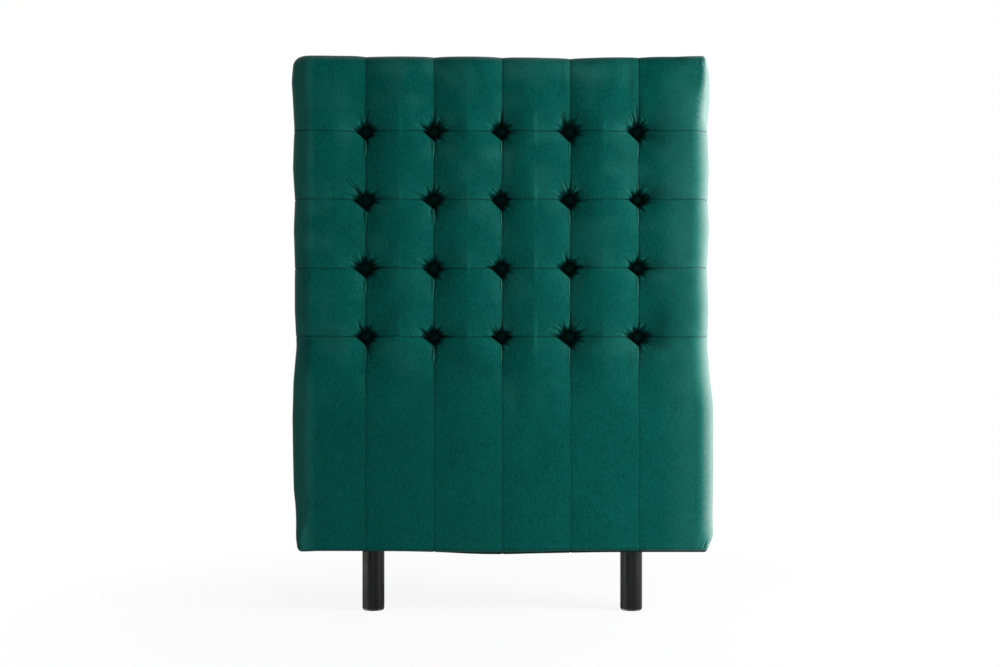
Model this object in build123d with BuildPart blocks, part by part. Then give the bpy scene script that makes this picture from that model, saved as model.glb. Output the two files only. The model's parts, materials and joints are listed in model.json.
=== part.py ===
from build123d import *
import os

# A tall tufted velvet headboard for a single bed, standing on two round black legs.
# Millimetres. X runs to the right, the front faces -Y, Z is up, and the origin is on the
# floor under the middle of the panel.

# Whole object
panel_width = 913.0
panel_depth = 100.0
overall_height = 1200.0
leg_height = 130.0

# Clearances
cloth_clearance = 0.3
drill_clearance = 0.1
thread_clearance = 0.1
cut_overrun = 20.0

# Velvet cover and the cloth over the back
velvet_thickness = 2.0
velvet_margin = 38.0
dust_cloth_thickness = 1.0
dust_cloth_setback = 14.0

# Grid of tufts
tuft_columns = 5
tuft_rows = 4
column_pitch = 147.0
row_pitch = 148.0
top_border = 162.0

# How far each side is drawn in from half the panel width
waist_draw = 10.0
row_draw = 6.0
top_draw = 4.5
foot_draw = 7.5

# Crowned cells, measured back from the foremost point of the front
crown_rise = 7.0
seam_rise = 1.5
shoulder_drop = 2.0
edge_cell_setback = 1.0
swell_setback = 0.6
swell_rise = 4.5
swell_drop = 90.0
plain_setback = 1.0
plain_rise = 2.5
head_setback = 0.5
head_rise = 5.5

# Rolled edges and corners of the panel
side_roll = 42.0
top_roll = 20.0
bottom_roll = 11.0
back_roll = 5.0
top_corner = 18.0
bottom_corner = 11.0
underside_sag = 5.0
sag_span = 380.0

# Deep tufts and their covered buttons
tuft_throat_radius = 12.0
tuft_lip_radius = 11.0
tuft_lip_depth = 1.5
tuft_floor_depth = 34.0
button_radius = 11.0
button_rim = 2.5
button_dome = 5.5

# Twine and washers that hold the buttons
twine_radius = 1.0
twine_hole_radius = 1.5
washer_radius = 10.0
washer_thickness = 3.0
knot_radius = 3.0
knot_length = 4.0
board_hole_radius = 3.0

# Pine frame, plywood board and wadding
timber_width = 45.0
timber_depth = 45.0
board_thickness = 6.0
base_board_thickness = 18.0
base_board_depth = 80.0
edge_wadding = 8.0
corner_block_leg = 70.0
corner_block_thickness = 30.0

# Frame screws, base board screws and board nails
screw_radius = 2.0
screw_head_radius = 4.0
screw_head_height = 3.0
screw_length = 80.0
screw_spread = 22.0
base_screw_length = 50.0
base_screw_setback = 12.0
base_screws_in_rail = 3
nail_radius = 1.0
nail_head_radius = 2.5
nail_head_height = 1.0
nail_length = 25.0
nails_per_stile = 6
nails_per_rail = 4

# Staples along the back
staple_wire_width = 1.2
staple_wire_height = 0.8
staple_crown = 11.0
staple_leg = 9.0
staples_per_side = 13
staples_per_end = 10

# Legs
leg_radius = 24.0
leg_wall = 1.5
leg_inset = 175.5
leg_setback = -3.0
leg_disc_thickness = 4.0
stud_radius = 4.0
stud_reach = 14.0
stud_head_radius = 7.0
stud_head_height = 5.0
insert_radius = 6.5
insert_length = 16.0
glide_radius = 23.0
glide_thickness = 4.0
glide_spigot = 20.0
glide_spigot_wall = 3.0
glide_edge = 1.0

# Places worked out from the sizes above
front = -panel_depth / 2
back = panel_depth / 2
cover_back = back - dust_cloth_thickness
frame_back = cover_back - velvet_thickness
frame_front = frame_back - timber_depth
board_front = frame_front - board_thickness
base_board_front = frame_back - base_board_depth
panel_bottom = leg_height
base_bottom = panel_bottom + velvet_thickness
base_top = base_bottom + base_board_thickness
frame_side = panel_width / 2 - waist_draw - velvet_thickness - cloth_clearance - edge_wadding
frame_top = overall_height - velvet_thickness - cloth_clearance - edge_wadding
rail_half = frame_side - timber_width
rail_middle = (frame_front + frame_back) / 2
cloth_inset = velvet_thickness + cloth_clearance
tuft_floor = front + tuft_floor_depth
washer_back = frame_front + washer_thickness
leg_middle = panel_width / 2 - leg_inset
opening_side = panel_width / 2 - waist_draw - velvet_margin
opening_low = panel_bottom + velvet_margin
opening_high = overall_height - velvet_margin
cloth_side = panel_width / 2 - waist_draw - dust_cloth_setback
cloth_low = panel_bottom + dust_cloth_setback
cloth_high = overall_height - dust_cloth_setback
staple_side = (opening_side + frame_side) / 2
staple_low = (opening_low + base_top) / 2
staple_high = (opening_high + frame_top) / 2
top_row = overall_height - top_border
column_places = [(i - (tuft_columns - 1) / 2) * column_pitch for i in range(tuft_columns)]
row_places = [top_row - i * row_pitch for i in range(tuft_rows)]
tuft_places = [(x, z) for z in row_places for x in column_places]
upper_rail_height = (row_places[1] + row_places[2]) / 2
lower_rail_height = (base_top + timber_width + row_places[-1]) / 2
rail_heights = {
    "top_rail": frame_top - timber_width / 2,
    "upper_middle_rail": upper_rail_height,
    "lower_middle_rail": lower_rail_height,
    "bottom_rail": base_top + timber_width / 2,
}
sides = {"left": -1, "right": 1}

os.makedirs("parts", exist_ok=True)


def save(piece, name):
    """Labels a finished piece and writes it under its name."""
    piece.label = name
    export_step(piece, f"parts/{name}.step")


def even_places(low, high, count):
    """Gives places spread evenly from low to high, half a step in from each end."""
    step = (high - low) / count
    return [low + step * (i + 0.5) for i in range(count)]


# Velvet form

def draw_level(height, draw, setback, rise, inset):
    """Draws the panel's section at one height: crowned cells in front, square at the back."""
    side = panel_width / 2 - draw - inset
    rear = cover_back - inset
    rear_roll = back_roll - inset / 2
    seam = front + setback + rise + inset
    roll = side_roll - inset
    brow = front + setback + shoulder_drop * rise / crown_rise + inset
    shoulder = side - roll
    with BuildSketch(Plane.XY.offset(height)) as level:
        with BuildLine():
            Line((side - rear_roll, rear), (rear_roll - side, rear))
            RadiusArc((rear_roll - side, rear), (-side, rear - rear_roll), -rear_roll)
            Line((-side, rear - rear_roll), (-side, brow + roll))
            RadiusArc((-side, brow + roll), (-shoulder, brow), -roll)
            corners = [(-shoulder, brow)] + [(x, seam) for x in column_places] + [(shoulder, brow)]
            for start, end in zip(corners, corners[1:]):
                at_edge = brow in (start[1], end[1])
                peak = front + setback + inset + (edge_cell_setback if at_edge else 0)
                ThreePointArc(start, ((start[0] + end[0]) / 2, peak), end)
            RadiusArc((shoulder, brow), (side, brow + roll), -roll)
            Line((side, brow + roll), (side, rear - rear_roll))
            RadiusArc((side, rear - rear_roll), (side - rear_roll, rear), -rear_roll)
        make_face()
    return level.sketch


def draw_elevation(inset):
    """Draws the outline that rounds the panel's corners and lets its underside sag."""
    low = panel_bottom + inset
    high = overall_height - inset
    foot = panel_width / 2 - foot_draw - inset
    head = panel_width / 2 - top_draw - inset
    middle = (low + high) / 2
    outside = panel_width / 2 + cut_overrun
    low_roll = bottom_corner - inset
    high_roll = top_corner - inset
    with BuildSketch(Plane.XZ) as outline:
        with BuildLine():
            Line((-foot + low_roll, low), (-sag_span / 2, low))
            ThreePointArc((-sag_span / 2, low), (0, low - underside_sag), (sag_span / 2, low))
            Line((sag_span / 2, low), (foot - low_roll, low))
            RadiusArc((foot - low_roll, low), (foot, low + low_roll), -low_roll)
            Polyline((foot, low + low_roll), (outside, middle), (head, high - high_roll))
            RadiusArc((head, high - high_roll), (head - high_roll, high), -high_roll)
            Line((head - high_roll, high), (high_roll - head, high))
            RadiusArc((high_roll - head, high), (-head, high - high_roll), -high_roll)
            Polyline((-head, high - high_roll), (-outside, middle), (-foot, low + low_roll))
            RadiusArc((-foot, low + low_roll), (-foot + low_roll, low), -low_roll)
        make_face()
    return outline.sketch


def draw_side_outline(inset):
    """Draws the outline that rolls the panel's top and bottom edges."""
    low = panel_bottom - underside_sag + inset
    flat = panel_bottom + inset
    high = overall_height - inset
    near = front + plain_setback + inset
    rear = cover_back - inset
    middle = (low + high) / 2
    outside = front - cut_overrun
    low_roll = bottom_roll - inset
    high_roll = top_roll - inset
    rear_roll = back_roll - inset / 2
    with BuildSketch(Plane.YZ) as outline:
        with BuildLine():
            Line((rear, low), (near + low_roll, low))
            Line((near + low_roll, low), (near + low_roll, flat))
            RadiusArc((near + low_roll, flat), (near, flat + low_roll), low_roll)
            Polyline((near, flat + low_roll), (outside, middle), (near, high - high_roll))
            RadiusArc((near, high - high_roll), (near + high_roll, high), high_roll)
            Line((near + high_roll, high), (rear - rear_roll, high))
            RadiusArc((rear - rear_roll, high), (rear, high - rear_roll), rear_roll)
            Line((rear, high - rear_roll), (rear, low))
        make_face()
    return outline.sketch


def tuft_cutter(inset):
    """Makes the hollow of one tuft, at the origin: a flared mouth, a rolled lip and a throat."""
    lip = tuft_lip_radius - inset
    throat = tuft_throat_radius + inset
    mouth = front + crown_rise + tuft_lip_depth + inset
    flare = mouth - front + cut_overrun
    floor = tuft_floor + inset
    with BuildPart() as hollow:
        with BuildSketch(Plane.XY):
            with BuildLine():
                Polyline((throat, mouth + lip), (throat, floor), (0, floor), (0, mouth - flare))
                Line((0, mouth - flare), (throat + lip + flare, mouth - flare))
                Line((throat + lip + flare, mouth - flare), (throat + lip, mouth))
                RadiusArc((throat + lip, mouth), (throat, mouth + lip), lip)
            make_face()
        revolve(axis=Axis.Y)
    return hollow.part


def form_courses():
    """Lists the form's courses from the foot up, each by height, side draw, setback and crown."""
    rows_up = row_places[::-1]
    low_row = rows_up[0]
    plain_top = low_row - 2 * swell_drop
    foot = panel_bottom - cut_overrun
    head = overall_height + cut_overrun
    seam = (waist_draw, crown_rise - seam_rise, seam_rise)
    courses = [
        [
            (foot, foot_draw, plain_setback, plain_rise),
            ((foot + plain_top) / 2, foot_draw / 4, plain_setback, plain_rise),
            (plain_top, 0, plain_setback, plain_rise),
        ],
        [
            (plain_top, 0, plain_setback, plain_rise),
            (low_row - swell_drop, waist_draw / 4, swell_setback, swell_rise),
            (low_row, *seam),
        ],
    ]
    for low, high in zip(rows_up, rows_up[1:]):
        courses.append([(low, *seam), ((low + high) / 2, row_draw, 0, crown_rise), (high, *seam)])
    courses.append(
        [
            (top_row, *seam),
            ((top_row + head) / 2, (waist_draw + 3 * top_draw) / 4, head_setback, crown_rise),
            (head, top_draw, head_setback, head_rise),
        ]
    )
    return courses


def tufted_block(inset):
    """Makes the whole padded panel, smaller all round by the inset."""
    with BuildPart() as block:
        for course in form_courses():
            loft([draw_level(*level, inset) for level in course])
        extrude(draw_elevation(inset), amount=panel_depth, both=True, mode=Mode.INTERSECT)
        extrude(draw_side_outline(inset), amount=panel_width, both=True, mode=Mode.INTERSECT)
        with Locations(*[(x, 0, z) for x, z in tuft_places]):
            add(tuft_cutter(inset), mode=Mode.SUBTRACT)
    return block.part


# Fixings, each drawn once and then placed, with a clearance for the hole that takes it

def screw(length, clearance):
    """Makes a countersunk screw that points along -X from the origin."""
    shank = screw_radius + clearance
    with BuildPart() as turned:
        with BuildSketch(Plane.XY):
            with BuildLine():
                Polyline(
                    (0, 0),
                    (0, screw_head_radius + clearance),
                    (-screw_head_height, shank),
                    (-length + screw_head_height - clearance, shank),
                    (-length - clearance, 0),
                    (0, 0),
                )
            make_face()
        revolve(axis=Axis.X)
    return turned.part


def nail(clearance):
    """Makes a flat-headed nail that points along +Y from the front of the board."""
    with BuildPart() as turned:
        with BuildSketch(Plane.XZ.offset(-board_front)):
            Circle(nail_head_radius + clearance)
        extrude(amount=-nail_head_height)
        with BuildSketch(Plane.XZ.offset(-board_front)):
            Circle(nail_radius + clearance)
        extrude(amount=-nail_length - clearance)
    return turned.part


def staple(clearance):
    """Makes a wire staple driven in from the back, with its crown along X."""
    tip = back - staple_leg - clearance
    outer = staple_crown + 2 * clearance
    inner = staple_crown - 2 * staple_wire_width - 2 * clearance
    wire = staple_wire_height + clearance
    with BuildPart() as bent:
        with BuildSketch(Plane.XY):
            with Locations((0, back)):
                Rectangle(outer, back - tip, align=(Align.CENTER, Align.MAX))
            with Locations((0, back - wire)):
                Rectangle(inner, back - wire - tip, align=(Align.CENTER, Align.MAX), mode=Mode.SUBTRACT)
        extrude(amount=staple_wire_width / 2 + clearance, both=True)
    return bent.part


frame_screw_places = []
for height in rail_heights.values():
    for level in (height - screw_spread / 2, height + screw_spread / 2):
        frame_screw_places.append(Location((frame_side, rail_middle, level)))
        frame_screw_places.append(Location((-frame_side, rail_middle, level), (0, 0, 180)))

stile_middle = frame_side - timber_width / 2
base_screw_row = rail_middle + base_screw_setback
base_screw_stations = [-stile_middle, stile_middle]
base_screw_stations += even_places(-rail_half, rail_half, base_screws_in_rail)
base_screw_places = [
    Location((x, base_screw_row, base_bottom), (0, 90, 0)) for x in base_screw_stations
]

nail_places = []
for height in even_places(base_top, frame_top, nails_per_stile):
    nail_places += [(-stile_middle, 0, height), (stile_middle, 0, height)]
for height in rail_heights.values():
    nail_places += [(x, 0, height) for x in even_places(-rail_half, rail_half, nails_per_rail)]

staple_places = []
for height in even_places(staple_low, staple_high, staples_per_side):
    staple_places += [Location((side * staple_side, 0, height), (0, 90, 0)) for side in (-1, 1)]
for height in (staple_low, staple_high):
    for x in even_places(-staple_side, staple_side, staples_per_end):
        staple_places.append(Location((x, 0, height)))


def fixings(shape, places):
    """Makes a group of the same fixing, one at each place."""
    with BuildPart() as group:
        with Locations(*places):
            add(shape)
    return group.part


screw_holes = fixings(screw(screw_length, drill_clearance), frame_screw_places)
base_screw_holes = fixings(screw(base_screw_length, drill_clearance), base_screw_places)
nail_holes = fixings(nail(drill_clearance), nail_places)
staple_holes = fixings(staple(drill_clearance), staple_places)

save(fixings(screw(screw_length, 0), frame_screw_places), "frame_screws")
save(fixings(screw(base_screw_length, 0), base_screw_places), "base_board_screws")
save(fixings(nail(0), nail_places), "board_nails")
save(fixings(staple(0), staple_places), "back_staples")


# Pine frame

def timber(low, high, holes):
    """Makes a planed length of the frame between two corners in X and Z, drilled for its fixings."""
    with BuildPart() as bar:
        with BuildSketch(Plane.XZ.offset(-frame_back)):
            with Locations(low):
                Rectangle(high[0] - low[0], high[1] - low[1], align=(Align.MIN, Align.MIN))
        extrude(amount=timber_depth)
        add(holes, mode=Mode.SUBTRACT)
    return bar.part


timber_holes = [screw_holes, base_screw_holes, nail_holes, staple_holes]
for side, sign in sides.items():
    inner, outer = sorted((sign * rail_half, sign * frame_side))
    save(timber((inner, base_top), (outer, frame_top), timber_holes), f"{side}_stile")
for name, height in rail_heights.items():
    low = (-rail_half, height - timber_width / 2)
    high = (rail_half, height + timber_width / 2)
    save(timber(low, high, timber_holes), name)
post_low = (-timber_width / 2, rail_heights["bottom_rail"] + timber_width / 2)
post_high = (timber_width / 2, lower_rail_height - timber_width / 2)
save(timber(post_low, post_high, timber_holes), "centre_post")

corner_ends = {
    "top": (rail_heights["top_rail"] - timber_width / 2, -corner_block_leg),
    "bottom": (rail_heights["bottom_rail"] + timber_width / 2, corner_block_leg),
}
for end, (corner, reach) in corner_ends.items():
    for side, sign in sides.items():
        with BuildPart() as corner_block:
            with BuildSketch(Plane.XZ.offset(-rail_middle)):
                with BuildLine():
                    Polyline(
                        (sign * rail_half, corner),
                        (sign * (rail_half - corner_block_leg), corner),
                        (sign * rail_half, corner + reach),
                        (sign * rail_half, corner),
                    )
                make_face()
            extrude(amount=corner_block_thickness / 2, both=True)
        save(corner_block.part, f"{end}_{side}_corner_block")

with BuildPart() as base_board:
    with BuildSketch(Plane.XY.offset(base_bottom)):
        with Locations((0, frame_back)):
            Rectangle(2 * frame_side, base_board_depth, align=(Align.CENTER, Align.MAX))
    extrude(amount=base_board_thickness)
    with BuildSketch(Plane.XY.offset(base_bottom)):
        with Locations((-leg_middle, leg_setback), (leg_middle, leg_setback)):
            Circle(insert_radius + drill_clearance)
    extrude(amount=insert_length, mode=Mode.SUBTRACT)
    add(base_screw_holes, mode=Mode.SUBTRACT)
save(base_board.part, "base_board")

with BuildPart() as backing_board:
    with BuildSketch(Plane.XZ.offset(-frame_front)):
        with Locations((0, base_top)):
            Rectangle(2 * frame_side, frame_top - base_top, align=(Align.CENTER, Align.MIN))
        with Locations(*tuft_places):
            Circle(board_hole_radius, mode=Mode.SUBTRACT)
    extrude(amount=board_thickness)
    add(nail_holes, mode=Mode.SUBTRACT)
save(backing_board.part, "backing_board")


# Foam, wadding, velvet and the cloth over the back
padding_form = tufted_block(cloth_inset)
foam_depth = board_front - front

with BuildPart() as foam_pad:
    add(padding_form)
    split(bisect_by=Plane.XZ.offset(-board_front), keep=Keep.TOP)
    with BuildSketch(Plane.XY.offset(base_top)):
        with Locations((0, base_board_front)):
            Rectangle(2 * frame_side, panel_depth, align=(Align.CENTER, Align.MIN))
    extrude(amount=-leg_height, mode=Mode.SUBTRACT)
    with BuildSketch(Plane.XZ.offset(-board_front)):
        with Locations(*tuft_places):
            Circle(twine_hole_radius)
    extrude(amount=foam_depth, mode=Mode.SUBTRACT)
save(foam_pad.part, "foam_pad")

with BuildPart() as back_padding:
    add(padding_form)
    split(bisect_by=Plane.XZ.offset(-board_front), keep=Keep.BOTTOM)
for side, sign in sides.items():
    with BuildPart() as side_wadding:
        add(back_padding.part)
        keep = Keep.TOP if sign > 0 else Keep.BOTTOM
        split(bisect_by=Plane.YZ.offset(sign * frame_side), keep=keep)
    save(side_wadding.part, f"{side}_edge_wadding")
with BuildPart() as top_wadding:
    add(back_padding.part)
    split(bisect_by=Plane.XY.offset(frame_top), keep=Keep.TOP)
    split(bisect_by=Plane.YZ.offset(-frame_side), keep=Keep.TOP)
    split(bisect_by=Plane.YZ.offset(frame_side), keep=Keep.BOTTOM)
save(top_wadding.part, "top_edge_wadding")

with BuildPart() as velvet_cover:
    add(tufted_block(0))
    add(tufted_block(velvet_thickness), mode=Mode.SUBTRACT)
    with BuildSketch(Plane.XZ.offset(-cover_back)):
        with Locations((0, opening_low)):
            Rectangle(2 * opening_side, opening_high - opening_low, align=(Align.CENTER, Align.MIN))
    extrude(amount=velvet_thickness, mode=Mode.SUBTRACT)
    with BuildSketch(Plane.XZ.offset(-tuft_floor)):
        with Locations(*tuft_places):
            Circle(twine_hole_radius)
    extrude(amount=-velvet_thickness, mode=Mode.SUBTRACT)
    with BuildSketch(Plane.XY.offset(panel_bottom)):
        with Locations((-leg_middle, leg_setback), (leg_middle, leg_setback)):
            Circle(stud_radius + cloth_clearance)
    extrude(amount=velvet_thickness, mode=Mode.SUBTRACT)
    add(staple_holes, mode=Mode.SUBTRACT)
save(velvet_cover.part, "velvet_cover")

with BuildPart() as dust_cloth:
    with BuildSketch(Plane.XZ.offset(-back)):
        with Locations((0, cloth_low)):
            Rectangle(2 * cloth_side, cloth_high - cloth_low, align=(Align.CENTER, Align.MIN))
    extrude(amount=dust_cloth_thickness)
    add(staple_holes, mode=Mode.SUBTRACT)
save(dust_cloth.part, "back_dust_cloth")


# Covered buttons, the twine that pulls them in and the washers it is tied over
with BuildPart() as button:
    with BuildSketch(Plane.XY):
        with BuildLine():
            rim = tuft_floor - button_rim
            Polyline((0, rim - button_dome), (0, tuft_floor), (button_radius, tuft_floor))
            Line((button_radius, tuft_floor), (button_radius, rim))
            EllipticalCenterArc((0, rim), button_radius, button_dome, start_angle=270, arc_size=90)
        make_face()
    revolve(axis=Axis.Y)
for row, height in enumerate(row_places, start=1):
    for column, x in enumerate(column_places, start=1):
        save(button.part.moved(Location((x, 0, height))), f"covered_button_row{row}_column{column}")

with BuildPart() as tufting_washers:
    with BuildSketch(Plane.XZ.offset(-washer_back)):
        with Locations(*tuft_places):
            Circle(washer_radius)
            Circle(twine_hole_radius, mode=Mode.SUBTRACT)
    extrude(amount=washer_thickness)
save(tufting_washers.part, "tufting_washers")

with BuildPart() as tufting_twines:
    with BuildSketch(Plane.XZ.offset(-washer_back)):
        with Locations(*tuft_places):
            Circle(twine_radius)
    extrude(amount=washer_back - tuft_floor)
    with BuildSketch(Plane.XZ.offset(-washer_back)):
        with Locations(*tuft_places):
            Circle(knot_radius)
    extrude(amount=-knot_length)
save(tufting_twines.part, "tufting_twines")


# Legs: a steel tube with a pressed disc, a stud into the base board and a plastic glide
tube_bore = leg_radius - leg_wall
disc_low = panel_bottom - leg_disc_thickness
for side, sign in sides.items():
    leg_place = (sign * leg_middle, leg_setback)

    with BuildPart() as leg_tube:
        with BuildSketch(Plane.XY.offset(glide_thickness)):
            with Locations(leg_place):
                Circle(leg_radius)
                Circle(tube_bore, mode=Mode.SUBTRACT)
        extrude(amount=panel_bottom - glide_thickness)
    save(leg_tube.part, f"{side}_leg_tube")

    with BuildPart() as leg_disc:
        with BuildSketch(Plane.XY.offset(disc_low)):
            with Locations(leg_place):
                Circle(tube_bore - drill_clearance)
                Circle(stud_radius + drill_clearance, mode=Mode.SUBTRACT)
        extrude(amount=leg_disc_thickness)
    save(leg_disc.part, f"{side}_leg_disc")

    with BuildPart() as leg_stud:
        with BuildSketch(Plane.XY.offset(disc_low)):
            with Locations(leg_place):
                RegularPolygon(stud_head_radius, 6)
        extrude(amount=-stud_head_height)
        with BuildSketch(Plane.XY.offset(disc_low)):
            with Locations(leg_place):
                Circle(stud_radius)
        extrude(amount=base_bottom + stud_reach - disc_low)
    save(leg_stud.part, f"{side}_leg_stud")

    with BuildPart() as leg_insert:
        with BuildSketch(Plane.XY.offset(base_bottom)):
            with Locations(leg_place):
                Circle(insert_radius)
                Circle(stud_radius + thread_clearance, mode=Mode.SUBTRACT)
        extrude(amount=insert_length)
    save(leg_insert.part, f"{side}_leg_threaded_insert")

    with BuildPart() as glide:
        with BuildSketch(Plane.XY):
            with Locations(leg_place):
                Circle(glide_radius)
        extrude(amount=glide_thickness)
        fillet(glide.edges().group_by(Axis.Z)[0], radius=glide_edge)
        with BuildSketch(Plane.XY.offset(glide_thickness)):
            with Locations(leg_place):
                Circle(tube_bore - drill_clearance)
                Circle(tube_bore - drill_clearance - glide_spigot_wall, mode=Mode.SUBTRACT)
        extrude(amount=glide_spigot)
    save(glide.part, f"{side}_leg_glide")
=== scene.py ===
# A tufted velvet headboard: its soft forms and finishes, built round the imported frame, in metres.
import json
import math
import bpy
import numpy as np
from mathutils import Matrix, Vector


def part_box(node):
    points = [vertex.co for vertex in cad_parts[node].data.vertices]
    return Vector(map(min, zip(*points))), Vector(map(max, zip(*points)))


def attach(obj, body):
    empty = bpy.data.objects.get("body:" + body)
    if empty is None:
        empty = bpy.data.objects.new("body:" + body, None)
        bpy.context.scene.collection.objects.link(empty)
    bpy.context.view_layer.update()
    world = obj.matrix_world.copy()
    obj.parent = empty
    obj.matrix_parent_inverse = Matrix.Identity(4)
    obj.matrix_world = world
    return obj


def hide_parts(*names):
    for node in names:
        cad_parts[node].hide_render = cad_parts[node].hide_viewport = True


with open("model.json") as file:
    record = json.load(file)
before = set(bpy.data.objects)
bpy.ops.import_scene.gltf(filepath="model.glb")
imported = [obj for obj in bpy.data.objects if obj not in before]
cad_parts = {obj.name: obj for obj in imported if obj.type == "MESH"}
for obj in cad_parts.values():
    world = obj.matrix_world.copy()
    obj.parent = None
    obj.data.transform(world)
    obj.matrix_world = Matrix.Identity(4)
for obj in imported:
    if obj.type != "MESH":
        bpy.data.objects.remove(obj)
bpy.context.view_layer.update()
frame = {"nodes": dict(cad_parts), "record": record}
mm = 0.001


# Places taken from the frame

def middle(name):
    """The middle of a frame node's box."""
    low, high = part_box(name)
    return [(a + b) / 2 for a, b in zip(low, high)]


tuft_columns = [middle(f"covered_button_row1_column{i}")[0] for i in range(1, 6)]
tuft_rows = [middle(f"covered_button_row{i}_column1")[2] for i in range(4, 0, -1)]
column_pitch = tuft_columns[1] - tuft_columns[0]
row_pitch = tuft_rows[1] - tuft_rows[0]
lowest_row = tuft_rows[0]
highest_row = tuft_rows[-1]
cover_low, cover_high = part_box("velvet_cover")
cloth_low, cloth_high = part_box("back_dust_cloth")
plate_low, plate_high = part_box("base_board")
stile_low, stile_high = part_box("left_stile")
board_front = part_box("backing_board")[0][1]
button_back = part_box("covered_button_row1_column1")[1][1]

front = cover_low[1]
cover_back = cover_high[1]
cover_top = cover_high[2]
cover_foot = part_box("left_leg_tube")[1][2]
half_width = cover_high[0]
tuft_floor = button_back - front


# Smooth shaping functions

def ease(value, start, end):
    """0 before start, 1 after end, and a smooth rise between."""
    t = np.clip((value - start) / (end - start), 0, 1)
    return t * t * (3 - 2 * t)


def bell(distance, width):
    """A smooth bump, 1 at no distance."""
    return np.exp(-((distance / width) ** 2))


def unevenness(u, v, wavelength, seed):
    """Smooth random hills of a set wavelength, from -1 to 1."""
    count = 64
    hills = np.random.default_rng(seed).uniform(-1, 1, (count, count))
    # The grid starts 22 hills to the left of the middle and 8 below the floor
    a = np.clip(u / wavelength + 22, 0, count - 1.1)
    b = np.clip(v / wavelength + 8, 0, count - 1.1)
    i = np.floor(a).astype(int)
    j = np.floor(b).astype(int)
    s = ease(a - i, 0, 1)
    t = ease(b - j, 0, 1)
    low = hills[i, j] * (1 - s) + hills[i + 1, j] * s
    high = hills[i, j + 1] * (1 - s) + hills[i + 1, j + 1] * s
    return low * (1 - t) + high * t


def nearest(value, places):
    """The nearest of the places to each value."""
    places = np.asarray(places)
    return places[np.argmin(np.abs(value[..., None] - places), axis=-1)]


# The velvet's form

side_roll = 42 * mm
tight_side_roll = 14 * mm
top_roll = 20 * mm
foot_roll = 7 * mm
back_roll = 5 * mm
shoulder = half_width - side_roll
corner_width = 90 * mm
crown = 7 * mm
plain_crown = 1.6 * mm
channel_depth = 1 * mm
corner_roll = 9 * mm
seam_width = 1.2 * mm
seam_depth = 0.35 * mm
seam_lap = 0.4 * mm
seam_stray = 1.3 * mm
cross_seam_depth = 0.9 * mm
pleat_depth = 2.6 * mm
# Pleats start this many millimetres from their tuft's middle, and fade in before that
pleat_start = 12
pleat_fade = 8
fold_reach = 75 * mm
margin_width = 38 * mm
velvet_thickness = 2 * mm
side_smoothing = 4 * mm
edge_smoothing = 5 * mm

# How far out the left and the right side stand at heights above the floor
side_template = [
    (130, 441.2, 440.2), (138, 441.8, 442.6), (146, 443.6, 447.4), (153, 444.6, 452), (160, 445.2, 455.8),
    (167, 445.8, 458.6), (180, 446, 458), (208, 448.2, 457.2), (260, 453.8, 458.3), (338, 455.3, 458.5),
    (417, 456.4, 458.4), (452, 455.5, 457.7), (495, 454.6, 452.2), (574, 447.8, 445.5), (652, 451.8, 448.3),
    (742, 451.8, 445), (825, 453.4, 449.3), (890, 451.8, 447.2), (960, 455.8, 449.3), (1050, 452.5, 445.4),
    (1105, 455.2, 448.5), (1149, 458, 448.3), (1175, 456, 443), (1190, 454.5, 438.2), (1200, 454, 437.4),
]
# The radius that the right front edge turns with at heights above the floor: tight at its two corners
right_edge_template = [
    (130, 13), (148, 14), (172, 40), (1040, 42), (1105, 33), (1140, 26), (1180, 13), (1200, 8),
]

# How far each tuft's mouth reaches, in millimetres: row from the top, column, left, right, up and down
tuft_reaches = [
    (1, 1, 25.5, 21, 16, 22.5), (1, 2, 27.5, 23, 19, 23.5), (1, 3, 27.5, 18, 20, 23.5),
    (1, 4, 29.5, 21, 22, 26.5), (1, 5, 27.5, 18, 17, 25.5), (2, 1, 33.5, 24, 17, 25.5),
    (2, 2, 30.5, 21, 19, 21.5), (2, 3, 27.5, 16, 18, 27.5), (2, 4, 29.5, 19, 19, 23.5),
    (2, 5, 23.5, 24, 18, 19.5), (3, 1, 30.5, 23, 21, 23.5), (3, 2, 28.5, 20, 18, 24.5),
    (3, 3, 27.5, 17, 17, 25.5), (3, 4, 27.5, 19, 19, 23.5), (3, 5, 25.5, 21, 19, 19.5),
    (4, 1, 24.5, 23, 22, 20.5), (4, 2, 29.5, 22, 19, 21.5), (4, 3, 27.5, 20, 16, 19.5),
    (4, 4, 33.5, 23, 21, 25.5), (4, 5, 28.5, 24, 18, 21.5),
]

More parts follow.
